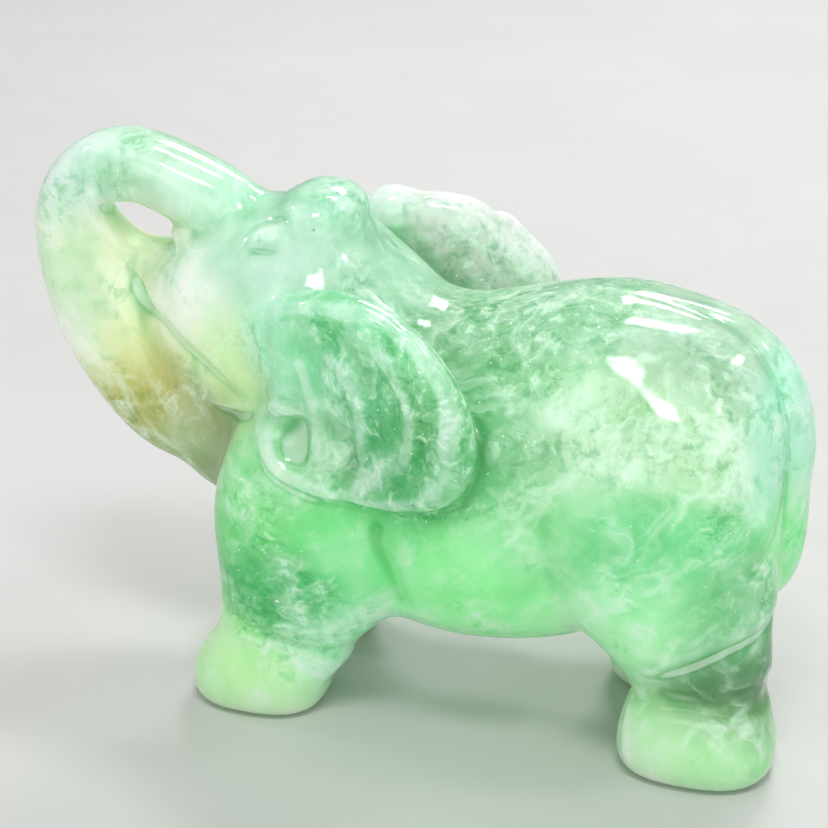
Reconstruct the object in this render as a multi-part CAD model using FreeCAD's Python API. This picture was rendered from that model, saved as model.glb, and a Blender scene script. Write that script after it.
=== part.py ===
"""Carved translucent green stone elephant, trunk raised and curled back onto the forehead.

The real object is one carved stone. It is modelled here as the stone's carved forms, each one a closed
solid in a node of its own, and neighbouring forms share the cut face between them without overlapping.

Frame: millimetres, +Z up, +X towards the tail, -Y the elephant's left side.
The origin lies on the ground, under the middle of the object's bounding box.
"""

import math
import os

import FreeCAD
import Part
from FreeCAD import Vector

# Driving dimensions, in millimetres.
BACK_Z = 47.4          # top of the rump
BELLY_Z = 8.8          # lowest point of the belly
BODY_HALF_W = 15.6     # half the width of the barrel
CROWN_Z = 55.0         # top of the knob on the head
HEAD_HALF_W = 10.4     # half the width of the skull
STANCE_Y = 8.5         # from the middle of the body to the middle of a foot
STRIDE = 6.0           # how far the right hind foot stands in front of the left one
FRONT_FOOT_X = -15.2   # middle of a front foot
HIND_FOOT_X = 31.6     # middle of the left hind foot
FRONT_ANKLE_Z = 8.0    # top of the front feet
HIND_ANKLE_Z = 8.8     # top of the hind feet
HIP_Z = 40.0           # level from which a hind leg swings
EAR_THICK = 5.0        # thickness of an ear at its middle
SOLE_EDGE = 1.1        # rounding of a foot where it meets the ground
RING_POINTS = 20       # points that shape one closed section
SHIFT_X = 0.8          # from the place that the sections are measured from to the middle of the length

PARTS_DIR = "parts"


def power(value, exponent):
    """A signed power, which squares off an ellipse when the exponent is under 1."""
    return math.copysign(abs(value) ** exponent, value)


def closed_wire(points):
    """A smooth closed wire of two arcs, so that no face lofted from it closes on itself."""
    curve = Part.BSplineCurve()
    curve.interpolate(Points=points, PeriodicFlag=True)
    first, last = curve.FirstParameter, curve.LastParameter
    middle = (first + last) / 2
    return Part.Wire([curve.toShape(first, middle), curve.toShape(middle, last)])


def section(centre, across, upward, half_across, half_up, half_down, squareness=2.0):
    """A closed egg-shaped section through centre, in the plane of the directions across and upward.

    squareness is 2 for an ellipse, and more for a section with flatter sides and rounded corners.
    """
    points = []
    for step in range(RING_POINTS):
        angle = 2 * math.pi * step / RING_POINTS - math.pi / 2
        side = half_across * power(math.cos(angle), 2 / squareness)
        rise = power(math.sin(angle), 2 / squareness)
        rise *= half_up if rise > 0 else half_down
        points.append(centre + across * side + upward * rise)
    return closed_wire(points)


def upright_section(x, low, high, half_width, squareness=2.3, belly=0.5):
    """A section square to X. Its widest level lies at the share belly of its height."""
    middle = low + (high - low) * belly
    return section(Vector(x, 0, middle), Vector(0, 1, 0), Vector(0, 0, 1),
                   half_width, high - middle, middle - low, squareness)


def level_section(z, x, y, half_x, half_y, squareness=2.4):
    """A section square to Z."""
    return section(Vector(x, y, z), Vector(1, 0, 0), Vector(0, 1, 0), half_x, half_y, half_y, squareness)


def loft(sections):
    return Part.makeLoft(sections, True, False)


def ellipsoid(centre, radii, pitch=0.0):
    """A closed ellipsoid. pitch tips its top towards +X, in degrees."""
    stretch = FreeCAD.Matrix()
    stretch.scale(*radii)
    solid = Part.makeSphere(1.0).transformGeometry(stretch)
    solid.rotate(Vector(0, 0, 0), Vector(0, 1, 0), pitch)
    solid.translate(Vector(*centre))
    return solid


def mirrored(solid):
    """The same form on the elephant's right side."""
    return solid.mirror(Vector(0, 0, 0), Vector(0, 1, 0))


def largest_solid(shape):
    return max(shape.Solids, key=lambda solid: solid.Volume)


def without(solid, *neighbours):
    """What is left of a form when its neighbours keep their own whole shape."""
    return largest_solid(solid.cut(list(neighbours)))


def make_barrel():
    """Chest, ribs and rump in one egg-shaped loft from chest to tail."""
    chest = Part.Vertex(Vector(-20.6, 0, 23.0))
    rump = Part.Vertex(Vector(38.6, 0, 31.0))
    ribs = [
        upright_section(-19.5, 17.0, 30.0, 6.0),
        upright_section(-15.5, 13.0, 35.5, 10.0),
        upright_section(-8.0, 10.5, 40.5, 13.8),
        upright_section(1.0, 9.4, 43.2, BODY_HALF_W - 0.3, belly=0.46),
        upright_section(9.0, BELLY_Z, 45.0, BODY_HALF_W, belly=0.46),
        upright_section(17.0, 10.0, 47.0, BODY_HALF_W),
        upright_section(24.5, 13.0, BACK_Z, BODY_HALF_W - 0.4),
        upright_section(31.0, 17.0, 45.2, 13.8),
        upright_section(35.6, 21.5, 41.2, 10.0),
        upright_section(38.0, 26.4, 36.4, 5.2),
    ]
    return loft([chest, *ribs, rump])


def make_head():
    """Skull and cheeks, broad and square, with the knob of the crown at its back."""
    muzzle = Part.Vertex(Vector(-29.4, 0, 41.5))
    face = [
        upright_section(-28.6, 37.3, 45.6, 4.2),
        upright_section(-26.0, 34.2, 48.0, 6.8, 2.5),
        upright_section(-22.0, 31.5, 49.8, 8.7, 2.6),
        upright_section(-17.0, 28.5, 51.6, 9.9, 2.7),
        upright_section(-12.0, 26.0, 52.6, HEAD_HALF_W, 2.7),
        upright_section(-7.0, 26.0, 50.8, 10.6, 2.6),
        upright_section(-2.0, 28.0, 47.0, 10.6, 2.4),
        upright_section(3.0, 30.0, 44.0, 10.0, 2.3),
        upright_section(9.0, 32.0, 41.0, 8.5),
    ]
    crown = ellipsoid((-10.8, 0, CROWN_Z - 4.4), (5.1, 7.2, 4.4))
    return largest_solid(loft([muzzle, *face]).fuse(crown))


def make_lower_jaw():
    """Chin and throat, between the root of the trunk and the chest."""
    return ellipsoid((-20.3, 0, 26.2), (5.6, 6.2, 7.4), pitch=20)


# Middle line of the trunk from its root to its tip: x, z, half its depth, half its width.
TRUNK = [
    (-13.0, 29.0, 7.0, 7.2),
    (-20.0, 28.6, 7.0, 7.0),
    (-27.2, 30.6, 6.8, 6.6),
    (-32.0, 35.4, 6.4, 6.0),
    (-35.0, 41.0, 6.2, 5.4),
    (-36.7, 46.2, 5.3, 4.9),
    (-36.6, 51.0, 4.6, 4.7),
    (-33.6, 54.2, 4.1, 4.5),
    (-29.0, 54.4, 3.8, 4.4),
    (-24.2, 52.9, 3.7, 4.3),
    (-19.5, 51.0, 3.6, 4.1),
    (-15.6, 49.6, 3.2, 3.6),
]


def make_trunk():
    """A square-sided tube that rises from the mouth, curls over and lies back on the forehead."""
    middles = [Vector(x, 0, z) for x, z, _, _ in TRUNK]
    rings = []
    for place, (_, _, half_depth, half_width) in enumerate(TRUNK):
        before = middles[max(place - 1, 0)]
        after = middles[min(place + 1, len(TRUNK) - 1)]
        along = (after - before).normalize()
        depth = along.cross(Vector(0, 1, 0))
        rings.append(section(middles[place], Vector(0, 1, 0), depth,
                             half_width, half_depth, half_depth, 2.5))
    return loft(rings)


# Outline of an ear, x and z, from the front of its root over the top and round the back.
EAR_OUTLINE = [
    (-15.0, 44.0), (-11.0, 47.8), (-4.7, 49.8), (3.0, 48.0), (8.6, 43.0), (10.9, 36.8), (9.8, 31.2),
    (5.4, 28.0), (-0.5, 27.2), (-6.0, 27.4), (-10.6, 28.8), (-12.4, 32.0), (-12.9, 37.0), (-15.2, 41.0),
]
EAR_CENTRE = Vector(-2.0, -14.8, 38.5)
EAR_FLARE = -14.0      # degrees that the back of the left ear swings away from the body
EAR_LEAN = 6.0         # degrees that its top leans out


def make_left_ear():
    """A thick fan with rounded edges, flared away from the neck."""
    half = EAR_THICK / 2
    rings = []
    for depth, share in ((half, 0.86), (half * 0.55, 0.975), (0, 1.0), (-half * 0.55, 0.975), (-half, 0.86)):
        rings.append(closed_wire([
            Vector((x - EAR_CENTRE.x) * share, depth, (z - EAR_CENTRE.z) * share) for x, z in EAR_OUTLINE]))
    ear = loft(rings)
    ear.rotate(Vector(0, 0, 0), Vector(0, 0, 1), EAR_FLARE)
    ear.rotate(Vector(0, 0, 0), Vector(1, 0, 0), EAR_LEAN)
    ear.translate(EAR_CENTRE)
    return ear


def make_foot(x, half_x, half_y, top, ankle, heel=0.0):
    """A broad foot with a flat sole and a rounded edge. ankle is the section it ends in, at the level top.

    heel is how far the foot leans back above its sole.
    """
    y = -STANCE_Y
    return loft([
        level_section(0.0, x, y, half_x - SOLE_EDGE, half_y - SOLE_EDGE, 2.6),
        level_section(0.35, x, y, half_x - 0.45 * SOLE_EDGE, half_y - 0.45 * SOLE_EDGE, 2.6),
        level_section(SOLE_EDGE + 0.2, x, y, half_x, half_y, 2.6),
        level_section(top * 0.5, x + 0.4 * heel, y, half_x + 0.4 * heel, half_y, 2.6),
        ankle,
    ])


def front_ankle():
    return level_section(FRONT_ANKLE_Z, -12.3, -STANCE_Y, 7.9, 5.4, 2.5)


def make_front_foot():
    return make_foot(FRONT_FOOT_X, 7.3, 5.9, FRONT_ANKLE_Z, front_ankle(), heel=1.2)


def make_front_leg():
    """Leg and shoulder: it widens from the ankle and rounds over against the ribs."""
    shoulder = Part.Vertex(Vector(-6.5, -10.5, 37.0))
    rings = [
        front_ankle(),
        level_section(11.0, -10.7, -STANCE_Y, 8.8, 5.8, 2.4),
        level_section(15.0, -9.4, -STANCE_Y, 10.0, 6.3),
        level_section(21.0, -8.8, -STANCE_Y - 0.2, 10.9, 7.0),
        level_section(27.0, -8.2, -STANCE_Y - 0.4, 10.6, 6.9),
        level_section(32.0, -7.4, -STANCE_Y - 0.8, 8.8, 5.8),
        level_section(35.6, -6.8, -STANCE_Y - 1.4, 5.0, 3.6),
    ]
    return loft([*rings, shoulder])


def hind_section(z, x, half_x, half_y, forward=0.0, squareness=2.4):
    """A section of a hind leg. forward is how far its foot stands in front of the left one's place."""
    swing = forward * max(0.0, 1 - z / HIP_Z)
    return level_section(z, x - swing, -STANCE_Y, half_x, half_y, squareness)


def hind_ankle(forward):
    return hind_section(HIND_ANKLE_Z, 31.8, 6.9, 5.5, forward, 2.5)


def make_hind_foot(forward):
    swing = forward * (1 - HIND_ANKLE_Z / HIP_Z)
    return make_foot(HIND_FOOT_X - swing, 7.9, 6.3, HIND_ANKLE_Z, hind_ankle(forward))


def make_hind_leg(forward):
    """Shank and thigh: it swells forward from the ankle to a broad oval thigh."""
    hip = Part.Vertex(Vector(27.0, -STANCE_Y - 1.0, 42.0))
    return loft([
        hind_ankle(forward),
        hind_section(12.0, 30.8, 8.2, 5.8, forward),
        hind_section(16.0, 28.6, 10.0, 6.7, forward),
        hind_section(22.0, 26.8, 11.9, 7.7, forward),
        hind_section(28.0, 26.2, 12.3, 8.0, forward),
        hind_section(34.0, 26.2, 10.9, 7.3, forward),
        hind_section(39.0, 26.5, 7.2, 5.3, forward),
        hip,
    ])


# Middle line of the tail, down the rump: x, z, half its width.
TAIL = [
    (30.4, 44.8, 2.2),
    (34.6, 41.9, 3.0),
    (37.2, 37.4, 3.5),
    (38.4, 31.8, 3.5),
    (38.2, 26.0, 3.2),
    (37.2, 20.6, 3.0),
    (36.2, 16.8, 2.0),
]
TAIL_HALF_DEPTH = 1.8


def make_tail():
    """A flat strap that lies against the rump and ends between the thighs."""
    middles = [Vector(x, 0, z) for x, z, _ in TAIL]
    rings = []
    for place, (_, _, half_width) in enumerate(TAIL):
        before = middles[max(place - 1, 0)]
        after = middles[min(place + 1, len(TAIL) - 1)]
        along = (after - before).normalize()
        depth = along.cross(Vector(0, 1, 0))
        rings.append(section(middles[place], Vector(0, 1, 0), depth,
                             half_width, TAIL_HALF_DEPTH, TAIL_HALF_DEPTH, 2.4))
    return loft(rings)


def make_elephant():
    """Every form of the stone, by node name."""
    forms = {
        "front_left_foot": make_front_foot(),
        "front_left_leg": make_front_leg(),
        "hind_left_foot": make_hind_foot(0.0),
        "hind_left_leg": make_hind_leg(0.0),
        "front_right_foot": mirrored(make_front_foot()),
        "front_right_leg": mirrored(make_front_leg()),
        "hind_right_foot": mirrored(make_hind_foot(STRIDE)),
        "hind_right_leg": mirrored(make_hind_leg(STRIDE)),
    }
    legs = list(forms.values())
    barrel = make_barrel()
    body = [barrel, *legs]
    head = without(make_head(), *body)
    jaw = without(make_lower_jaw(), head, *body)
    forms["torso"] = without(barrel, *legs)
    forms["head"] = head
    forms["lower_jaw"] = jaw
    forms["trunk"] = without(make_trunk(), head, jaw, *body)
    forms["left_ear"] = without(make_left_ear(), head, *body)
    forms["right_ear"] = mirrored(forms["left_ear"])
    forms["tail"] = without(make_tail(), *body)
    for solid in forms.values():
        solid.translate(Vector(SHIFT_X, 0, 0))
    return forms


def main():
    os.makedirs(PARTS_DIR, exist_ok=True)
    for name, solid in make_elephant().items():
        if not solid.isValid():
            print("not valid:", name)
        solid.exportStep(os.path.join(PARTS_DIR, name + ".step"))
        print(f"{name:18s} {solid.Volume:9.1f} mm3  {len(solid.Faces)} faces")


main()
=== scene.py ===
import math

import bpy
import numpy as np
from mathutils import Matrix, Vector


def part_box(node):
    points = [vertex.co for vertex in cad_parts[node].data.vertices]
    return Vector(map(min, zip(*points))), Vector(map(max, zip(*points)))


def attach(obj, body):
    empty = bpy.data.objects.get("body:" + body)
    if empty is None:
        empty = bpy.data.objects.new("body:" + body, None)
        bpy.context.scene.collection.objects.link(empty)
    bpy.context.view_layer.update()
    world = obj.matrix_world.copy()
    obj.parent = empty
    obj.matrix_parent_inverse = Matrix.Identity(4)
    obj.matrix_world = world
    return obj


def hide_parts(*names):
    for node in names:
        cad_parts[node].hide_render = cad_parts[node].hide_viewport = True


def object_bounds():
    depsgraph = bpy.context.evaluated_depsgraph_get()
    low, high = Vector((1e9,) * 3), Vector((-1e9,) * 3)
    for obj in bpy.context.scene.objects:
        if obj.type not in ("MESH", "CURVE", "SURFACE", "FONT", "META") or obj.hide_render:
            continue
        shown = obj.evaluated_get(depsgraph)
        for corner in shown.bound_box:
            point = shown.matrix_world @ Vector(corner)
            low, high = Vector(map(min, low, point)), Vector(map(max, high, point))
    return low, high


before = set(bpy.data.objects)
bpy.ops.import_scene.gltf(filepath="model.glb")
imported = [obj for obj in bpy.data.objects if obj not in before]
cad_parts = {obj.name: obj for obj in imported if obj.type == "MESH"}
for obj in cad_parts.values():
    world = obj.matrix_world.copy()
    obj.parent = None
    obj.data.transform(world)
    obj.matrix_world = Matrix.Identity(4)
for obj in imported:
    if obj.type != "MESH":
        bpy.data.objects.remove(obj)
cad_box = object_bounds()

import openvdb
from mathutils import Vector

# Lengths in the sculpting part are millimetres, because the carving is 82 mm long. Blender's are metres.
MM = 0.001
STEP = 0.34    # distance between the points at which the stone's shape is known
BAND = 4.5                             # depth of stone on each side of the surface where it is known
MARGIN = 3.0                           # empty space around the stone
SEAM = 0.3                             # gap that the forms close over when they grow together
HIP_Z = 40.0                           # level from which a hind leg swings forward
SOFTNESS = 1.6                         # rounding of the creases between the large forms
CRISPNESS = 0.75                       # rounding of the creases between the small ones

LOW = np.array(cad_box[0]) / MM - MARGIN
HIGH = np.array(cad_box[1]) / MM + MARGIN
COUNT = np.ceil((HIGH - LOW) / STEP).astype(int) + 1
GRID_X, GRID_Y, GRID_Z = [LOW[axis] + STEP * np.arange(COUNT[axis]) for axis in range(3)]


# ---- shape: one signed distance for the whole stone, negative inside ----

def grid_transform():
    transform = openvdb.createLinearTransform(voxelSize=STEP)
    transform.postTranslate([float(v) for v in LOW])
    return transform


def distance_to(node):
    """Signed distance to one packed form, in millimetres, on the grid."""
    mesh = node.data
    mesh.calc_loop_triangles()
    points = np.empty(len(mesh.vertices) * 3, np.float32)
    mesh.vertices.foreach_get("co", points)
    triangles = np.empty(len(mesh.loop_triangles) * 3, np.int32)
    mesh.loop_triangles.foreach_get("vertices", triangles)
    grid = openvdb.FloatGrid.createLevelSetFromPolygons(
        points.reshape(-1, 3) / np.float32(MM),
        triangles=triangles.reshape(-1, 3).astype(np.uint32),
        transform=grid_transform(), halfWidth=BAND / STEP)
    values = np.empty(COUNT, np.float32)
    grid.copyToArray(values)
    return values


def blurred(values, width):
    """A Gaussian blur of that width in millimetres."""
    reach = int(math.ceil(3 * width / STEP))
    weights = np.exp(-0.5 * (np.arange(-reach, reach + 1) * STEP / width) ** 2)
    weights /= weights.sum()
    for axis in range(3):
        padding = [(reach, reach) if a == axis else (0, 0) for a in range(3)]
        padded = np.pad(values, padding, mode="edge")
        total = np.zeros_like(values)
        for place, weight in enumerate(weights):
            cut = [slice(None)] * 3
            cut[axis] = slice(place, place + values.shape[axis])
            total += np.float32(weight) * padded[tuple(cut)]
        values = total
    return values


def smoothstep(low, high, value):
    t = np.clip((value - low) / (high - low), 0, 1)
    return t * t * (3 - 2 * t)


def sample(values, points):
    """Trilinear value at points, in millimetres."""
    place = np.clip((points - LOW) / STEP, 0, COUNT - 1.001)
    whole = place.astype(int)
    part = (place - whole).astype(np.float32)
    total = np.zeros(len(points), np.float32)
    for corner in range(8):
        offset = np.array([corner & 1, corner >> 1 & 1, corner >> 2 & 1])
        weight = np.prod(np.where(offset, part, 1 - part), axis=1)
        i, j, k = (whole + offset).T
        total += weight * values[i, j, k]
    return total


def slope(values, points):
    """Unit direction in which the value rises fastest."""
    columns = []
    for axis in range(3):
        offset = np.zeros(3)
        offset[axis] = STEP * 0.7
        columns.append(sample(values, points + offset) - sample(values, points - offset))
    normal = np.stack(columns, axis=1)
    return normal / np.maximum(np.linalg.norm(normal, axis=1, keepdims=True), 1e-9)


def near(low, high):
    """Slices of the grid that cover a box, and the coordinates there as three broadcasting arrays."""
    first = np.clip(np.floor((np.array(low) - LOW) / STEP).astype(int), 0, COUNT - 1)
    last = np.clip(np.ceil((np.array(high) - LOW) / STEP).astype(int) + 1, 1, COUNT)
    cut = tuple(slice(i, j) for i, j in zip(first, last))
    return cut, GRID_X[cut[0]][:, None, None], GRID_Y[cut[1]][None, :, None], GRID_Z[cut[2]][None, None, :]


def ellipsoid(centre, radii, inner, edge=0.0):
    """Slices that cover an ellipsoid and edge millimetres around it, and a weight there.

    The weight is 1 up to the share inner of the radii and falls smoothly to 0 on the surface.
    """
    centre, radii = np.array(centre), np.array(radii)
    cut, x, y, z = near(centre - radii - edge, centre + radii + edge)
    away = np.sqrt(((x - centre[0]) / radii[0]) ** 2 + ((y - centre[1]) / radii[1]) ** 2
                   + ((z - centre[2]) / radii[2]) ** 2)
    return cut, 1 - smoothstep(inner, 1.0, away)


CRISP_PLACES = (                       # middle and radii: the trunk, both ears, the crown and the feet
    ((-33, 0, 50), (17, 12, 17)),
    ((0, -17, 38), (19, 8, 18)),
    ((0, 17, 38), (19, 8, 18)),
    ((-9, 0, 56), (8, 9, 7)),
    ((-12, 0, 0), (19, 24, 12)),
    ((31, 0, 2), (19, 24, 15)),
)


def grown_together():
    """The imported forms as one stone, its creases soft on the body and crisper on the small forms."""
    stone = np.full(COUNT, BAND, np.float32)
    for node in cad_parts.values():
        np.minimum(stone, distance_to(node), out=stone)
    stone -= SEAM
    crisp = np.zeros(COUNT, np.float32)
    for centre, radii in CRISP_PLACES:
        cut, weight = ellipsoid(centre, radii, inner=0.35)
        crisp[cut] = np.maximum(crisp[cut], weight)
    crisp = np.minimum(crisp * 1.6, 1)
    stone = blurred(stone, SOFTNESS) * (1 - crisp) + blurred(stone, CRISPNESS) * crisp
    stone += SEAM
    return stone


def smooth_path(points, spacing=0.6):
    """A Catmull-Rom curve through the points."""
    points = np.array(points, float)
    ends = np.vstack([2 * points[0] - points[1], points, 2 * points[-1] - points[-2]])
    path = []
    for a, b, c, d in zip(ends, ends[1:], ends[2:], ends[3:]):
        steps = max(int(np.linalg.norm(c - b) / spacing), 1)
        for t in np.arange(steps) / steps:
            path.append(0.5 * (2 * b + (c - a) * t + (2 * a - 5 * b + 4 * c - d) * t ** 2
                               + (3 * b - a - 3 * c + d) * t ** 3))
    path.append(points[-1])
    return np.array(path)


def snapped(values, points):
    """The nearest places on the surface."""
    points = np.array(points, float)
    for _ in range(6):
        points -= slope(values, points) * np.clip(sample(values, points), -1.5, 1.5)[:, None]
    return points


def stroke(values, points, width, height, taper=0.2):
    """Raises the surface along a path by height, or cuts it in where height is negative.

    taper is the share of the path over which the stroke rises at each end.
    """
    path = snapped(values, smooth_path(points))
    reach = 2.6 * width
    cut, x, y, z = near(path.min(0) - reach, path.max(0) + reach)
    nearest = np.full(values[cut].shape, np.inf, np.float32)
    along = np.zeros_like(nearest)
    for place, (a, b) in enumerate(zip(path, path[1:])):
        run = b - a
        t = ((x - a[0]) * run[0] + (y - a[1]) * run[1] + (z - a[2]) * run[2]) / max(run @ run, 1e-9)
        t = np.clip(t, 0, 1)
        away = (x - a[0] - t * run[0]) ** 2 + (y - a[1] - t * run[1]) ** 2 + (z - a[2] - t * run[2]) ** 2
        closer = away < nearest
        nearest = np.where(closer, away, nearest)
        along = np.where(closer, (place + t) / (len(path) - 1), along)
    fade = smoothstep(0, taper, along) * smoothstep(0, taper, 1 - along)
    values[cut] -= (height * fade * np.exp(-nearest / width ** 2)).astype(np.float32)


def both_sides(points, stride=0.0):
    """The same path on the left side and on the right, where a hind leg stands stride further forward."""
    points = np.array(points, float)
    right = points * np.array([1, -1, 1])
    right[:, 0] -= stride * np.clip(1 - right[:, 2] / HIP_Z, 0, 1)
    return points, right


def dent(values, centre, radii, depth):
    """Presses a soft hollow into the surface, or swells it where depth is negative."""
    cut, weight = ellipsoid(centre, radii, inner=0.0)
    values[cut] += (depth * weight).astype(np.float32)


def soften(values, centre, radii, width):
    """Rounds everything inside an ellipsoid."""
    cut, weight = ellipsoid(centre, radii, inner=0.4, edge=3 * width)
    share = weight.astype(np.float32)
    values[cut] = values[cut] * (1 - share) + blurred(values[cut], width) * share


def joined(first, second, blend):
    """The smooth union of two distances."""
    share = np.clip(0.5 + 0.5 * (second - first) / blend, 0, 1)
    return second * (1 - share) + first * share - blend * share * (1 - share)


def carve_trunk_hole(values):
    """A pointed slot through the curl, wider at both mouths, and the web of stone under it."""
    cut, x, y, z = near((-39, -9, 38), (-20, 9, 57))
    half_thickness, top, front, rear = 3.6, 49.0, -37.0, -23.5
    web = np.maximum(np.abs(y) - half_thickness, z - top)
    web = np.maximum(web, np.maximum(front - x, x - rear))
    filled = joined(values[cut], web, blend=1.6)
    middle, run = (-29.1, 49.2), (0.933, -0.360)
    half_length, half_height, sag = 4.6, 2.0, 0.2
    skew = 0.25 * y * np.clip(0.5 - (x - middle[0]) / half_length, 0, 1)
    flare = 0.033 * y ** 2 + 0.13 * np.maximum(y, 0)
    along = (x + skew - middle[0]) * run[0] + (z - middle[1]) * run[1]
    across = (z - middle[1]) * run[0] - (x + skew - middle[0]) * run[1]
    lens = 1 - (along / half_length) ** 2
    slot = np.abs(across + sag * lens) - half_height * lens - flare
    steepest = 1.15
    values[cut] = -joined(-filled, slot / steepest, blend=0.7)


def carve_crown(values):
    """The knob of the crown: blunt, with a steep back."""
    centre, half, rounding = np.array([-8.4, 0.0, 50.4]), np.array([2.9, 3.6, 4.0]), 2.2
    cut, x, y, z = near(centre - half - 3, centre + half + 3)
    lean = 0.1 * (z - centre[2])
    sides = [np.abs(x - centre[0] + lean) - half[0] + rounding, np.abs(y) - half[1] + rounding,
             np.abs(z - centre[2]) - half[2] + rounding]
    outside = np.sqrt(sum(np.maximum(side, 0) ** 2 for side in sides))
    inside = np.minimum(np.maximum(np.maximum(sides[0], sides[1]), sides[2]), 0)
    values[cut] = joined(values[cut], outside + inside - rounding, blend=1.6)


def carve_ear(values, node, side):
    """An ear's outer face: a raised rim, and a dished middle with faint waves that follow the rear edge."""
    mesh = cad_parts[node].data
    points = np.array([vertex.co for vertex in mesh.vertices]) / MM
    normal = np.linalg.svd(points - points.mean(0), full_matrices=False)[2][2]
    normal *= side * np.sign(normal[1])
    up = np.array([0, 0, 1.0]) - normal * normal[2]
    up /= np.linalg.norm(up)
    rear = np.cross(up, normal) * -side
    spans = [(points @ axis) for axis in (rear, up, normal)]
    middle = [(span.max() + span.min()) / 2 for span in spans]
    half = [(span.max() - span.min()) / 2 for span in spans]
    cut, x, y, z = near(points.min(0) - 3, points.max(0) + 3)

    def along(axis, place):
        return x * axis[0] + y * axis[1] + z * axis[2] - middle[place]

    back = along(rear, 0) / half[0]
    rise = along(up, 1) / half[1]
    out = along(normal, 2)
    ring = (np.abs(back) ** 2.3 + np.abs(rise) ** 2.3) ** (1 / 2.3)
    root = smoothstep(0.35, 0.95, -back) * smoothstep(-0.5, 0.0, rise)
    front_edge = -0.78
    rear_edge = np.sqrt(np.clip(1 - rise ** 2, 0.02, 1))
    share = (back - front_edge) / (rear_edge - front_edge)
    dish = 1.15 * (1 - smoothstep(0.25, 0.86, ring)) * (1 - 0.6 * root)
    rim = 0.3 * np.exp(-((ring - 0.91) / 0.06) ** 2) * (1 - root)
    waves = 0.2 * np.cos(2 * math.pi * (3.7 * share + 0.06 * np.sin(5 * rise) + 0.15))
    waves *= smoothstep(0.97, 0.7, ring) * smoothstep(0.08, 0.35, share) * (1 - 0.7 * root)
    values[cut] += ((dish - rim + waves) * smoothstep(-1.2, 0.6, out)).astype(np.float32)


# Carved lines on the left side, as places in millimetres. Each is snapped to the surface, and repeated
# on the right.
CHEEK = [(-28.4, -2.0, 45.2), (-28.6, -3.4, 43.2), (-27.2, -5.0, 41.6), (-24.8, -7.0, 40.8),
         (-22.6, -8.0, 39.3), (-19.8, -8.9, 37.6), (-16.8, -9.4, 35.4), (-14.3, -9.9, 34.1)]
TRUNK_EDGE = [(-37.6, -4.5, 44.6), (-39.2, -4.2, 49.2), (-38.0, -4.0, 53.0), (-35.4, -3.9, 55.8),
              (-32.0, -3.9, 56.8), (-28.2, -3.9, 56.4), (-23.4, -3.8, 54.6), (-18.4, -3.5, 52.6)]
TRUNK_SIDE = [(-29.5, -6.4, 33.5), (-33.0, -5.8, 39.0), (-35.6, -5.2, 44.6), (-36.0, -4.8, 50.0),
              (-33.0, -4.6, 53.6), (-28.0, -4.5, 54.0), (-22.5, -4.4, 52.2)]


def carve_trunk(values):
    for path in both_sides(TRUNK_SIDE):
        stroke(values, path, width=2.2, height=-0.35)
    for path in both_sides(TRUNK_EDGE):
        stroke(values, path, width=1.0, height=0.2)
        stroke(values, path, width=0.4, height=-0.16)


MOUTH = [(-21.0, -6.7, 33.0), (-19.6, -6.9, 32.4), (-17.4, -8.0, 32.7), (-15.0, -9.8, 33.6),
         (-12.7, -11.6, 34.6)]
EAR_FLUTES = [
    [(-7.0, -15.8, 43.9), (-6.3, -15.0, 40.5), (-5.7, -14.6, 37.7), (-5.8, -14.4, 34.2),
     (-5.6, -15.2, 31.0)],
    [(-4.2, -15.8, 44.6), (-2.6, -16.3, 42.6), (-1.3, -15.9, 40.5), (-0.4, -15.8, 37.9),
     (-0.4, -15.4, 35.0), (-0.8, -15.4, 31.2)],
    [(0.5, -18.0, 46.2), (2.4, -18.5, 45.2), (4.3, -18.2, 42.6), (5.4, -18.1, 39.6), (5.3, -17.8, 36.4),
     (4.1, -17.3, 32.4)],
    [(2.6, -18.0, 48.0), (5.5, -18.3, 46.5), (7.6, -18.7, 44.3), (9.1, -19.2, 41.6), (9.5, -19.8, 38.8),
     (8.7, -19.7, 34.8)],
]
EAR_MARGIN = [(-11.3, -13.1, 35.0), (-11.1, -13.8, 33.6), (-10.6, -14.6, 32.0), (-9.3, -15.4, 30.4),
              (-7.0, -15.7, 29.4), (-4.6, -15.8, 28.7), (-2.0, -15.9, 28.4)]
EAR_LIP = [(-11.4, -12.6, 35.6), (-10.3, -14.1, 36.1), (-8.8, -14.2, 35.9), (-7.2, -14.2, 36.1),
           (-6.0, -14.2, 36.8)]

EYE = [(-15.6, -5.6, 50.7), (-13.6, -6.4, 51.4), (-11.6, -6.8, 51.2)]
UPPER_LID = [(-16.4, -5.8, 51.0), (-14.8, -5.4, 52.4), (-12.6, -5.2, 52.9), (-10.6, -6.0, 52.2)]
LOWER_LID = [(-16.2, -6.8, 49.9), (-13.8, -7.7, 49.9), (-11.2, -7.8, 50.3)]
CHEEKBONE = [(-16.5, -8.6, 47.6), (-12.5, -8.6, 48.4), (-9.0, -8.2, 48.8)]


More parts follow.
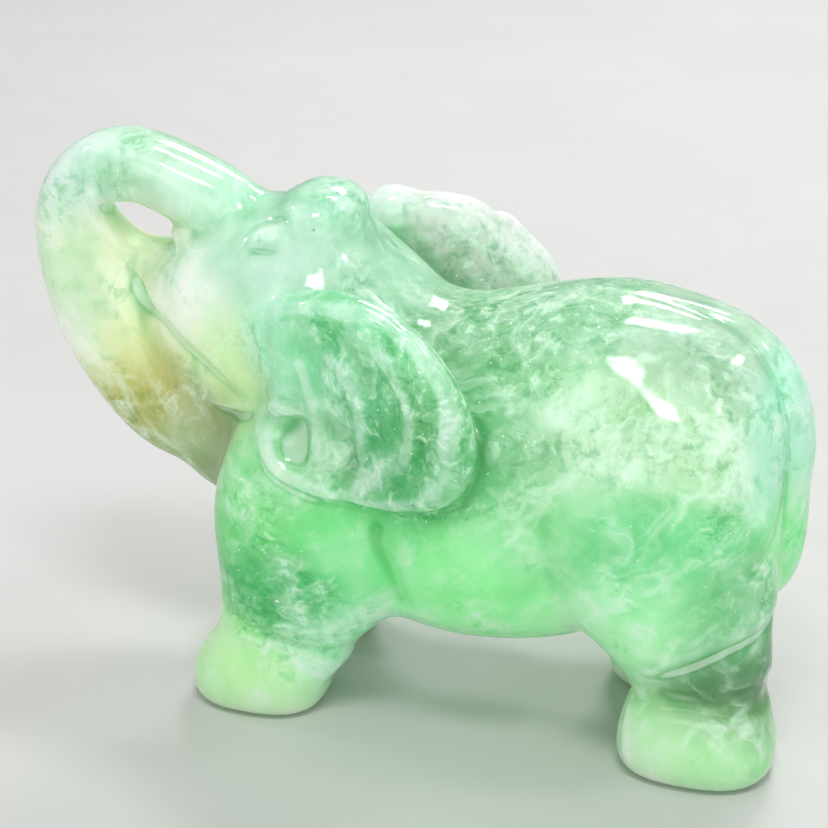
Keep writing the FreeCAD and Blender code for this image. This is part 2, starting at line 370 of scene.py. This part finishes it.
def carve_head(values):
    for side, node in ((-1, "left_ear"), (1, "right_ear")):
        carve_ear(values, node, side)
        front_edge = (-12.8, 12.0 * side, 41.5)
        lower_front = (-5.6, 15.0 * side, 34.5)
        pocket = (-8.2, 15.0 * side, 33.0)
        soften(values, front_edge, (6.5, 7.0, 8.5), width=2.2)
        soften(values, lower_front, (6.5, 5.0, 6.5), width=0.8)
        dent(values, pocket, (3.2, 3.0, 3.8), depth=1.5)
    for flute in EAR_FLUTES:
        for path in both_sides(flute):
            stroke(values, path, width=0.85, height=1.1, taper=0.2)
    for path in both_sides(EAR_MARGIN):
        stroke(values, path + np.array([-0.9, 0, -1.1]), width=0.7, height=-0.3, taper=0.3)
        stroke(values, path, width=0.9, height=0.55, taper=0.25)
    for path in both_sides(EAR_LIP):
        stroke(values, path, width=0.6, height=0.6, taper=0.3)
    # The right ear's top is fuller in front and lower behind.
    dent(values, (-7.5, 13.4, 49.4), (5, 4.5, 4.5), depth=-2.0)
    dent(values, (7.5, 16.6, 44.8), (9, 6, 8), depth=1.1)
    for path in both_sides(CHEEK):
        stroke(values, path, width=0.9, height=-0.5, taper=0.2)
        stroke(values, path + np.array([1.6, 0, 0.9]), width=1.3, height=0.3, taper=0.15)
    for path in both_sides(MOUTH):
        stroke(values, path + np.array([0, 0, -0.8]), width=0.6, height=-0.5, taper=0.25)
        stroke(values, path + np.array([0, 0, 0.2]), width=0.6, height=0.4, taper=0.25)
    for path in both_sides(EYE):
        stroke(values, path, width=1.15, height=0.55, taper=0.3)
    for path in both_sides(UPPER_LID):
        stroke(values, path, width=0.5, height=-0.3, taper=0.3)
    for path in both_sides(LOWER_LID):
        stroke(values, path, width=0.5, height=-0.28, taper=0.3)
    for path in both_sides(CHEEKBONE):
        stroke(values, path, width=1.4, height=0.35, taper=0.35)


TAIL_EDGE = [(18, -0.9, 47.2), (24, -1.1, 47.4), (29, -1.5, 46.4), (33.4, -2.3, 44.4), (36.6, -3.3, 41.2),
             (38.3, -4.1, 37.1), (38.9, -4.5, 32.6), (38.8, -4.3, 27.5), (38.0, -4.1, 22.0),
             (37.0, -3.6, 18.0)]
BUTTOCK = [(38.9, -4.6, 31.6), (39.2, -6.0, 29.3), (39.2, -9.5, 27.3), (38.2, -12.6, 25.3),
           (36.6, -14.2, 23.6)]
THIGH = [(14.6, -11.8, 40.9), (16.9, -14.6, 35.7), (17.4, -15.3, 30.6), (17.8, -14.9, 22.9),
         (18.6, -13.0, 17.0)]
THIGH_FOLD = [(27.4, -13.0, 11.4), (29.2, -14.2, 12.4), (32.8, -14.7, 14.5), (36.1, -14.0, 16.4),
              (38.4, -12.0, 17.3), (39.6, -9.0, 18.2), (39.6, -6.0, 19.0)]
ANKLE = [(27.0, -12.6, 9.9), (30.5, -13.9, 10.6), (35.0, -13.9, 10.8), (38.8, -11.3, 10.7),
         (40.2, -8.0, 10.6), (40.0, -4.6, 10.4)]
HOOF = [(28.3, -12.9, 8.8), (29.8, -13.3, 8.8), (32.0, -13.6, 9.0), (34.6, -13.4, 8.9),
        (37.4, -12.5, 8.6), (39.3, -9.6, 8.7), (39.9, -7.4, 8.9), (40.0, -4.6, 9.0)]
TOE = [(25.6, -11.6, 8.4), (26.0, -12.6, 5.0), (26.8, -13.4, 1.6)]
ELBOW = [(2.0, -15.2, 27.0), (0.4, -14.9, 23.5), (1.7, -14.3, 18.9), (2.6, -13.0, 13.0)]
WRIST = [(-19.4, -10.0, 9.4), (-16.6, -13.0, 11.6), (-13.4, -13.9, 10.9), (-10.1, -14.1, 9.7),
         (-5.4, -12.6, 8.5), (-3.6, -10.0, 8.4)]
WRIST_FOLD = [(-16.3, -13.0, 14.6), (-13.2, -13.9, 13.0), (-9.4, -14.3, 12.4), (-5.4, -13.6, 11.6)]
FRONT_TOE = [(-21.0, -10.6, 7.0), (-20.6, -11.8, 5.2), (-19.4, -13.0, 3.4)]


def carve_body(values):
    back, rump, tail_end, belly = (28, 0, 41), (38, 0, 41), (38.5, 0.5, 20.5), (8, 0, 16)
    soften(values, back, (18, 20, 14), width=1.8)
    dent(values, rump, (14, 15, 22), depth=-1.1)
    dent(values, tail_end, (7, 9, 10), depth=-1.2)
    dent(values, belly, (12, 17, 8), depth=-0.9)
    for path in both_sides(TAIL_EDGE):
        stroke(values, path, width=0.75, height=-0.5, taper=0.45)
    for path in both_sides(BUTTOCK):
        stroke(values, path, width=0.9, height=-0.45)
    for path in both_sides(THIGH):
        stroke(values, path, width=1.6, height=-0.28)


def carve_legs(values):
    stride = (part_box("hind_left_foot")[0][0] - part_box("hind_right_foot")[0][0]) / MM
    for path in both_sides(THIGH_FOLD, stride):
        stroke(values, path, width=0.65, height=-0.6)
        stroke(values, path + np.array([-0.6, 0, 2.0]), width=1.7, height=0.4)
    for path in both_sides(ANKLE, stride):
        stroke(values, path, width=1.1, height=-0.6)
    for path in both_sides(HOOF, stride):
        stroke(values, path + np.array([0, 0, 1.0]), width=0.5, height=-0.5)
        stroke(values, path, width=0.5, height=-0.6)
    for path in both_sides(TOE, stride):
        stroke(values, path, width=0.6, height=0.45)
    for path in both_sides(ELBOW):
        stroke(values, path, width=1.3, height=-0.4)
    for path in both_sides(WRIST):
        stroke(values, path, width=0.9, height=-0.5)
    for path in both_sides(WRIST_FOLD):
        stroke(values, path, width=0.6, height=-0.28)
    for path in both_sides(FRONT_TOE):
        stroke(values, path, width=0.5, height=-0.25)


# ---- mesh ----

def skin(values):
    """The surface of the stone as one mesh object, in metres."""
    grid = openvdb.FloatGrid()
    grid.background = BAND
    grid.gridClass = openvdb.GridClass.LEVEL_SET
    grid.transform = grid_transform()
    grid.copyFromArray(values)
    points, quads = grid.convertToQuads()
    points = points.astype(np.float64)
    for _ in range(3):
        points -= slope(values, points) * sample(values, points)[:, None]
    mesh = bpy.data.meshes.new("carved_stone")
    mesh.from_pydata((points * MM).tolist(), [], quads[:, ::-1].tolist())
    mesh.polygons.foreach_set("use_smooth", np.ones(len(quads), bool))
    mesh.update()
    piece = bpy.data.objects.new("carved_stone", mesh)
    bpy.context.collection.objects.link(piece)
    return piece


stone_field = grown_together()
for carve in (carve_trunk_hole, carve_crown, carve_trunk, carve_head, carve_body, carve_legs):
    carve(stone_field)
stone_field = blurred(stone_field, width=0.25)
np.maximum(stone_field, -GRID_Z.astype(np.float32), out=stone_field)
stone = skin(stone_field)
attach(stone, "root")
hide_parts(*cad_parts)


# ---- colour zones and relief of the surface, stored on the mesh ----

# Each zone: a place in millimetres on the left side, its linear colour there, and how
# shattered it is inside, from 0 to 1. The colours are the stone's own zoning with painted light and
# shade mixed in: the top painted darker, the belly, legs and feet painted brighter as if lit through
# the stone, and the ankle groove painted dark as shade.
ZONES = {
    "trunk_crest": ((-27, -3, 57), (0.47, 0.66, 0.51), 0.2),
    "trunk_bend": ((-36, -4, 54), (0.67, 0.81, 0.75), 0.5),
    "trunk_front": ((-39, -4, 46), (0.82, 0.94, 0.69), 0.15),
    "trunk_side": ((-33, -5, 41), (0.97, 0.97, 0.88), 0.5),
    "trunk_yellow": ((-28, -5, 38), (0.73, 0.82, 0.33), 0.35),
    "trunk_brown": ((-26, -6, 32), (0.46, 0.40, 0.08), 0.6),
    "trunk_smoky": ((-21, -6, 28), (0.25, 0.36, 0.12), 0.2),
    "web": ((-29, -3, 46), (0.69, 0.78, 0.46), 0.1),
    "cheek": ((-24, -7, 44), (0.97, 0.97, 0.95), 0.15),
    "jaw": ((-18, -9, 37), (0.63, 0.87, 0.43), 0.3),
    "forehead": ((-17, -5, 51), (0.42, 0.73, 0.52), 0.3),
    "brow": ((-10, -7, 51), (0.64, 0.80, 0.72), 0.2),
    "crown": ((-8, -2, 54), (0.22, 0.54, 0.34), 0.4),
    "neck": ((-4, -4, 48), (0.40, 0.70, 0.48), 0.3),
    "ear_front": ((-9, -15, 42), (0.45, 0.93, 0.64), 0.35),
    "ear_top": ((-3, -18, 48), (0.08, 0.42, 0.16), 0.25),
    "ear_middle": ((-1, -16, 42), (0.22, 0.61, 0.35), 1.0),
    "ear_back": ((9, -20, 41), (0.19, 0.51, 0.24), 0.8),
    "ear_bottom": ((2, -17, 33), (0.06, 0.46, 0.14), 0.8),
    "ear_pocket": ((-8, -14, 34), (0.46, 0.76, 0.50), 0.3),
    "behind_ear": ((13, -14, 36), (0.10, 0.48, 0.17), 0.4),
    "withers": ((8, -6, 43), (0.28, 0.56, 0.32), 0.8),
    "back": ((17, -4, 47), (0.32, 0.59, 0.37), 0.9),
    "rump_top": ((30, -6, 45), (0.42, 0.61, 0.45), 0.4),
    "rump": ((29, -13, 39), (0.47, 0.72, 0.45), 0.6),
    "hip": ((19, -14, 37), (0.65, 0.88, 0.65), 1.0),
    "tail": ((40, -3, 35), (0.46, 0.86, 0.65), 0.2),
    "tail_end": ((40, -3, 25), (0.27, 0.96, 0.35), 0.1),
    "thigh": ((27, -15, 27), (0.23, 0.74, 0.34), 0.5),
    "flank": ((17, -15, 28), (0.33, 0.82, 0.39), 0.15),
    # painted light: the belly bright as if lit through the stone
    "belly": ((9, -13, 19), (0.36, 0.97, 0.41), 0.0),
    "elbow": ((-1, -15, 22), (0.21, 0.82, 0.29), 0.1),
    "chest": ((-12, -13, 26), (0.24, 0.77, 0.28), 0.25),
    "front_leg": ((-9, -14, 15), (0.09, 0.53, 0.18), 1.0),
    # painted light: shin, front foot and knee bright as if lit through the stone
    "front_shin": ((-4, -12, 10), (0.54, 0.97, 0.65), 0.4),
    "front_foot": ((-13, -13, 4), (0.53, 0.97, 0.43), 0.1),
    "knee": ((28, -15, 18), (0.47, 0.97, 0.52), 0.1),
    "hock": ((36, -14, 19), (0.17, 0.54, 0.23), 0.4),
    # painted shade: the groove above the hind foot, near black
    "ankle": ((35, -13, 11.5), (0.03, 0.11, 0.03), 0.15),
    # painted light: the hind foot bright as if lit through the stone
    "hind_foot": ((33, -13, 5), (0.51, 0.97, 0.46), 0.1),
}
CLEAR_EAR = (0.65, 0.62, 0.61)         # the right ear is almost colourless
ZONE_REACH = 5.0                       # distance over which a zone's colour fades


def store(piece, name, values):
    kind = "FLOAT_COLOR" if values.ndim == 2 else "FLOAT"
    attribute = piece.data.attributes.new(name, kind, "POINT")
    attribute.data.foreach_set("color" if values.ndim == 2 else "value", values.astype(np.float32).ravel())


def surface_facts(piece, values):
    """Stores the zone colour, the shattering, the relief at two sizes and the slot at each vertex."""
    points = np.empty(len(piece.data.vertices) * 3)
    piece.data.vertices.foreach_get("co", points)
    points = points.reshape(-1, 3) / MM
    tint = np.zeros((len(points), 4))
    shatter = np.zeros((len(points), 1))
    for name, (place, colour, broken) in ZONES.items():
        for side in (1, -1):
            shade = CLEAR_EAR if side < 0 and name.startswith("ear") else colour
            away = ((points - np.array(place) * (1, side, 1)) ** 2).sum(axis=1, keepdims=True)
            far_share = 1e-6 / (1 + away)
            share = np.exp(-away / ZONE_REACH ** 2) + far_share
            tint += share * np.array([*shade, 1])
            shatter += share * broken
    store(piece, "tint", tint / tint[:, 3:])
    store(piece, "shatter", (shatter / tint[:, 3:])[:, 0])
    store(piece, "ridge", sample(blurred(values, width=0.6) - values, points))
    slot_x, slot_z = -29.2, 48.8       # relief is left out around the slot, which would look all edge
    from_slot = np.hypot(points[:, 0] - slot_x, points[:, 2] - slot_z)
    store(piece, "slot", smoothstep(5.0, 2.6, from_slot))
    swell = sample(blurred(values, width=1.6) - values, points)
    store(piece, "swell", swell * smoothstep(3.0, 7.0, from_slot))


surface_facts(stone, stone_field)


# ---- material ----

class Graph:
    """Builds a material's node tree. Any input is a plain value or another node's output."""

    def __init__(self, name):
        self.material = bpy.data.materials.new(name)
        self.material.use_nodes = True
        self.tree = self.material.node_tree
        self.shader = self.tree.nodes["Principled BSDF"]

    def set(self, socket, value):
        if isinstance(value, bpy.types.NodeSocket):
            self.tree.links.new(value, socket)
        else:
            socket.default_value = value

    def add(self, kind, inputs, **settings):
        made = self.tree.nodes.new(kind)
        for name, value in settings.items():
            setattr(made, name, value)
        for name, value in inputs.items():
            self.set(made.inputs[name], value)
        return made

    def math(self, operation, a, b=0.0, c=0.0):
        return self.add("ShaderNodeMath", {0: a, 1: b, 2: c}, operation=operation).outputs[0]

    def product(self, *values):
        total = values[0]
        for value in values[1:]:
            total = self.math("MULTIPLY", total, value)
        return total

    def remap(self, value, low, high, to_low=0.0, to_high=1.0):
        inputs = {"Value": value, "From Min": low, "From Max": high, "To Min": to_low, "To Max": to_high}
        return self.add("ShaderNodeMapRange", inputs, interpolation_type="SMOOTHSTEP").outputs["Result"]

    def attribute(self, name, output="Fac"):
        return self.add("ShaderNodeAttribute", {}, attribute_name=name).outputs[output]

    def place(self):
        """Position on the stone in millimetres."""
        where = self.add("ShaderNodeTexCoord", {}).outputs["Object"]
        return self.add("ShaderNodeVectorMath", {0: where, "Scale": 1 / MM}, operation="SCALE").outputs[0]

    def turned(self, at, degrees, stretch=(1, 1, 1)):
        """The position seen from turned axes, then divided by stretch along each."""
        turn = self.add("ShaderNodeMapping", {"Vector": at, "Rotation": [math.radians(d) for d in degrees]})
        shape = {"Vector": turn.outputs[0], "Scale": [1 / s for s in stretch]}
        return self.add("ShaderNodeMapping", shape).outputs[0]

    def noise(self, at, size, detail=4.0, roughness=0.55, distortion=0.0, output="Fac"):
        inputs = {"Vector": at, "Scale": 1 / size, "Detail": detail, "Roughness": roughness,
                  "Distortion": distortion}
        return self.add("ShaderNodeTexNoise", inputs).outputs[output]

    def warped(self, at, size, amount, detail=3.0):
        """The position pushed about by amount millimetres, in eddies of that size."""
        push = self.noise(at, size, detail, output="Color")
        centred = self.add("ShaderNodeVectorMath", {0: push, 1: (0.5, 0.5, 0.5)}, operation="SUBTRACT")
        inputs = {0: centred.outputs[0], 1: (2 * amount, 2 * amount, 2 * amount), 2: at}
        return self.add("ShaderNodeVectorMath", inputs, operation="MULTIPLY_ADD").outputs[0]

    def cells(self, at, size, feature="F1"):
        """Distance in millimetres to the nearest cell's middle, or to its edge."""
        made = self.add("ShaderNodeTexVoronoi", {"Vector": at, "Scale": 1 / size}, feature=feature)
        return self.math("MULTIPLY", made.outputs["Distance"], size)

    def mix(self, share, a, b, blend="MIX"):
        """Two colours mixed. A Mix node has its colour sockets at 6 and 7, and its colour output at 2."""
        made = self.tree.nodes.new("ShaderNodeMix")
        made.data_type = "RGBA"
        made.blend_type = blend
        for socket, value in zip((0, 6, 7), (share, a, b)):
            self.set(made.inputs[socket], value)
        return made.outputs[2]

    def bump(self, height, distance):
        return self.add("ShaderNodeBump", {"Height": height, "Distance": distance * MM}).outputs[0]


def clouded(g, colour, eddies):
    """Cloudy growth zones, from deep green to milky."""
    cloud = g.noise(eddies, 11.0, detail=3.0, roughness=0.5)
    colour = g.mix(g.remap(cloud, 0.52, 0.30), colour, (0.72, 0.88, 0.76, 1), "MULTIPLY")
    return g.mix(g.remap(cloud, 0.52, 0.72, 0.0, 0.22), colour, (0.80, 0.97, 0.84, 1))


def mottled(g, colour, mottle, shatter):
    """Darker and paler spots a few millimetres wide."""
    dark = g.product(g.remap(mottle, 0.52, 0.34), g.remap(shatter, 0.0, 0.7, 0.25, 1.0))
    colour = g.mix(dark, colour, (0.80, 0.92, 0.83, 1), "MULTIPLY")
    return g.mix(g.remap(mottle, 0.52, 0.70, 0.0, 0.22), colour, (0.80, 0.98, 0.85, 1))


def streaked(g, colour, at, eddies):
    """Long soft streaks: they rise towards the tail in the body, and run along the trunk."""
    x = g.add("ShaderNodeSeparateXYZ", {0: at}).outputs[0]
    strength = 0.38
    in_body = g.remap(x, -14.0, -4.0, 0.0, strength)
    in_trunk = g.remap(x, -24.0, -16.0, strength, 0.0)
    for degrees, share in ((-43, in_body), (38, in_trunk)):
        streak = g.noise(g.turned(eddies, (0, degrees, 0), (1, 1, 5)), 2.8, detail=4.0, roughness=0.6)
        colour = g.mix(g.product(share, g.remap(streak, 0.53, 0.70)), colour, (0.82, 0.98, 0.86, 1))
        dark = g.product(share, g.remap(streak, 0.47, 0.32))
        colour = g.mix(dark, colour, (0.76, 0.90, 0.81, 1), "MULTIPLY")
    return colour


def relief_painted_shade_and_glow(g, colour, swell, mottle):
    """Painted shade: hollows of the carving deeper green. Painted light: raised edges milky, as if lit
    through.
    """
    colour = g.mix(g.remap(swell, -0.03, -0.30), colour, (0.58, 0.84, 0.66, 1), "MULTIPLY")
    edge = g.product(g.remap(swell, 0.12, 0.40, 0.0, 0.25), g.remap(mottle, 0.40, 0.60, 0.4, 1.0))
    return g.mix(edge, colour, (0.70, 0.96, 0.78, 1))


def crumbled(g, colour, fine, patch):
    """Shattered patches: crumbled, dark and bright at once."""
    crumbs = g.noise(fine, 1.3, detail=5.0, roughness=0.66)
    dark = g.product(patch, g.remap(crumbs, 0.49, 0.40), 0.75)
    colour = g.mix(dark, colour, (0.60, 0.80, 0.68, 1), "MULTIPLY")
    return g.mix(g.product(patch, g.remap(crumbs, 0.54, 0.64), 0.42), colour, (0.78, 0.97, 0.84, 1))


def veiled(g, colour, eddies, kept):
    """Folded sheets of tiny bubbles, seen as wandering lines with one soft side."""
    folds = g.math("SUBTRACT", g.noise(eddies, 9.0, detail=3.0, roughness=0.55, distortion=0.6), 0.5)
    line = g.remap(g.math("ABSOLUTE", folds), 0.0, 0.012, 0.6, 0.0)
    soft_side = g.product(g.remap(folds, 0.12, 0.0, 0.0, 0.35), g.remap(folds, -0.05, 0.005))
    veil = g.math("MAXIMUM", line, soft_side)
    return g.mix(g.product(veil, kept, 0.75), colour, (0.82, 0.99, 0.87, 1))


def cracked(g, colour, at, kept):
    """Cleavage cracks: long and almost straight, in two directions, and broken off here and there."""
    bent = g.warped(at, 7.0, 1.2, detail=1.0)
    lines = []
    for degrees, size, length in (((25, 35, 10), 8.0, 3.5), ((-30, -50, 20), 11.0, 4.0)):
        gap = g.cells(g.turned(bent, degrees, (1, 1, length)), size, "DISTANCE_TO_EDGE")
        lines.append(g.math("MAXIMUM", g.remap(gap, 0.0, 0.10, 0.8, 0.0), g.remap(gap, 0.0, 1.8, 0.3, 0.0)))
    unbroken = g.remap(g.noise(at, 3.5, detail=2.0), 0.50, 0.60)
    share = g.product(g.math("MAXIMUM", *lines), kept, unbroken, 0.42)
    return g.mix(share, colour, (0.84, 0.99, 0.88, 1))


def crease_shade_and_edge_light(g, colour, ridge):
    """A deep line of painted shade in every crease with a pale one at its bottom, and a pale line of painted
    light along every sharp edge.
    """
    colour = g.mix(g.remap(ridge, -0.03, -0.08, 0.0, 0.45), colour, (0.55, 0.80, 0.64, 1), "MULTIPLY")
    colour = g.mix(g.remap(ridge, -0.08, -0.14, 0.0, 0.50), colour, (0.80, 0.90, 0.82, 1), "SCREEN")
    return g.mix(g.remap(ridge, 0.06, 0.16, 0.0, 0.35), colour, (0.60, 0.80, 0.66, 1), "SCREEN")


def dotted(g, colour, at, fine, shatter):
    """White points in the shattered stone, and a few dark ones anywhere."""
    dots = g.product(g.remap(g.cells(fine, 1.2), 0.06, 0.13, 1.0, 0.0), g.remap(shatter, 0.1, 0.7, 0.0, 0.8))
    colour = g.mix(dots, colour, (0.9, 1.0, 0.92, 1))
    specks = g.remap(g.cells(g.warped(at, 1.0, 0.35), 8.0), 0.10, 0.28, 0.7, 0.0)
    return g.mix(specks, colour, (0.06, 0.13, 0.07, 1))


def stone_material():
    """Fluorite: the zone colours under layers of clouds, breakage, veils and cracks."""
    g = Graph("fluorite")
    at = g.place()
    eddies = g.warped(at, 9.0, 2.6)
    fine = g.warped(eddies, 1.8, 0.7)
    ridge, swell, shatter = g.attribute("ridge"), g.attribute("swell"), g.attribute("shatter")
    mottle = g.noise(fine, 2.6, detail=5.0, roughness=0.62)
    drift = g.noise(g.warped(at, 14.0, 5.0, detail=2.0), 7.0, detail=2.0, roughness=0.5)
    patch = g.remap(g.math("MULTIPLY_ADD", shatter, 0.30, drift), 0.56, 0.76)
    kept = g.remap(g.math("MULTIPLY_ADD", shatter, 0.14, g.noise(at, 7.5, detail=2.0)), 0.50, 0.66)

    colour = clouded(g, g.attribute("tint", "Color"), eddies)
    colour = mottled(g, colour, mottle, shatter)
    colour = streaked(g, colour, at, eddies)
    colour = relief_painted_shade_and_glow(g, colour, swell, mottle)
    colour = crumbled(g, colour, fine, patch)
    colour = veiled(g, colour, eddies, kept)
    colour = cracked(g, colour, at, kept)
    colour = crease_shade_and_edge_light(g, colour, ridge)
    colour = dotted(g, colour, at, fine, shatter)
    g.set(g.shader.inputs["Base Color"], colour)

    rough = g.math("MULTIPLY_ADD", patch, 0.04, g.remap(mottle, 0.35, 0.7, 0.04, 0.10))
    rough = g.math("MULTIPLY_ADD", g.attribute("slot"), 0.40, rough)
    g.set(g.shader.inputs["Roughness"], g.math("ADD", rough, g.remap(ridge, -0.04, -0.2, 0.0, 0.12)))
    g.set(g.shader.inputs["Normal"], g.bump(g.noise(at, 1.6, detail=4.0, roughness=0.5), 0.012))

    g.shader.inputs["IOR"].default_value = 1.434
    g.shader.inputs["Subsurface Weight"].default_value = 0.75
    g.shader.inputs["Subsurface Radius"].default_value = (0.45, 1.0, 0.6)
    g.shader.inputs["Subsurface Scale"].default_value = 0.012
    return g.material


stone.data.materials.append(stone_material())


# ---- floor, light and camera ----

def floor():
    mesh = bpy.data.meshes.new("floor")
    half = 3.0                         # metres, far beyond what the camera sees
    corners = [(-half, -half, 0), (half, -half, 0), (half, half, 0), (-half, half, 0)]
    mesh.from_pydata(corners, [], [(0, 1, 2, 3)])
    piece = bpy.data.objects.new("floor", mesh)
    bpy.context.collection.objects.link(piece)
    g = Graph("pale_floor")
    at = g.place()
    shade = g.remap(g.noise(at, 60.0, detail=5.0, roughness=0.6), 0.3, 0.7)
    g.set(g.shader.inputs["Base Color"], g.mix(shade, (0.60, 0.60, 0.59, 1), (0.63, 0.63, 0.62, 1)))
    g.set(g.shader.inputs["Roughness"], g.remap(g.noise(at, 8.0, detail=4.0), 0.3, 0.7, 0.60, 0.75))
    mesh.materials.append(g.material)


def area_light(name, place, aim, size, watts):
    light = bpy.data.lights.new(name, "AREA")
    light.shape = "RECTANGLE"
    light.size, light.size_y = size
    light.energy = watts
    lamp = bpy.data.objects.new(name, light)
    lamp.location = place
    lamp.rotation_euler = (Vector(aim) - Vector(place)).to_track_quat("-Z", "Y").to_euler()
    bpy.context.collection.objects.link(lamp)


def camera(azimuth, elevation, distance, target, focal_length):
    """azimuth is counted from the elephant's left side towards its tail."""
    a, e = math.radians(azimuth), math.radians(elevation)
    back = Vector((math.sin(a) * math.cos(e), -math.cos(a) * math.cos(e), math.sin(e)))
    data = bpy.data.cameras.new("camera")
    data.lens = focal_length
    data.clip_start = 0.01
    lens = bpy.data.objects.new("camera", data)
    lens.location = Vector(target) + back * distance
    lens.rotation_euler = (-back).to_track_quat("-Z", "Y").to_euler()
    bpy.context.collection.objects.link(lens)
    bpy.context.scene.camera = lens


LAMPS = (                              # name, place, height aimed at, width and height, watts
    ("ceiling_rear", (-0.01, 0.44, 0.37), 0.03, (0.17, 0.11), 1.0),
    ("ceiling_middle", (0.05, 0.19, 0.54), 0.03, (0.17, 0.08), 0.75),
    ("ceiling_front", (0.08, -0.22, 0.52), 0.03, (0.16, 0.10), 0.95),
    ("tail_side", (0.34, 0.05, 0.42), 0.03, (0.07, 0.05), 0.22),
    ("head_side", (-0.38, 0.05, 0.36), 0.03, (0.06, 0.04), 0.16),
    ("near_side", (0.12, -0.60, 0.16), 0.02, (0.7, 0.3), 1.5),
)


def studio():
    """The lamps, and an even white surrounding."""
    for name, place, aim_height, size, watts in LAMPS:
        area_light(name, place, (0, 0, aim_height), size, watts)
    world = bpy.data.worlds.new("world")
    bpy.context.scene.world = world
    world.use_nodes = True
    background = world.node_tree.nodes["Background"]
    background.inputs["Color"].default_value = (1, 1, 1, 1)
    background.inputs["Strength"].default_value = 0.42
    bpy.context.scene.view_settings.view_transform = "Standard"


floor()
studio()
camera(azimuth=17.5, elevation=24.2, distance=0.25, target=(-0.0002, 0, 0.0308), focal_length=105.4)
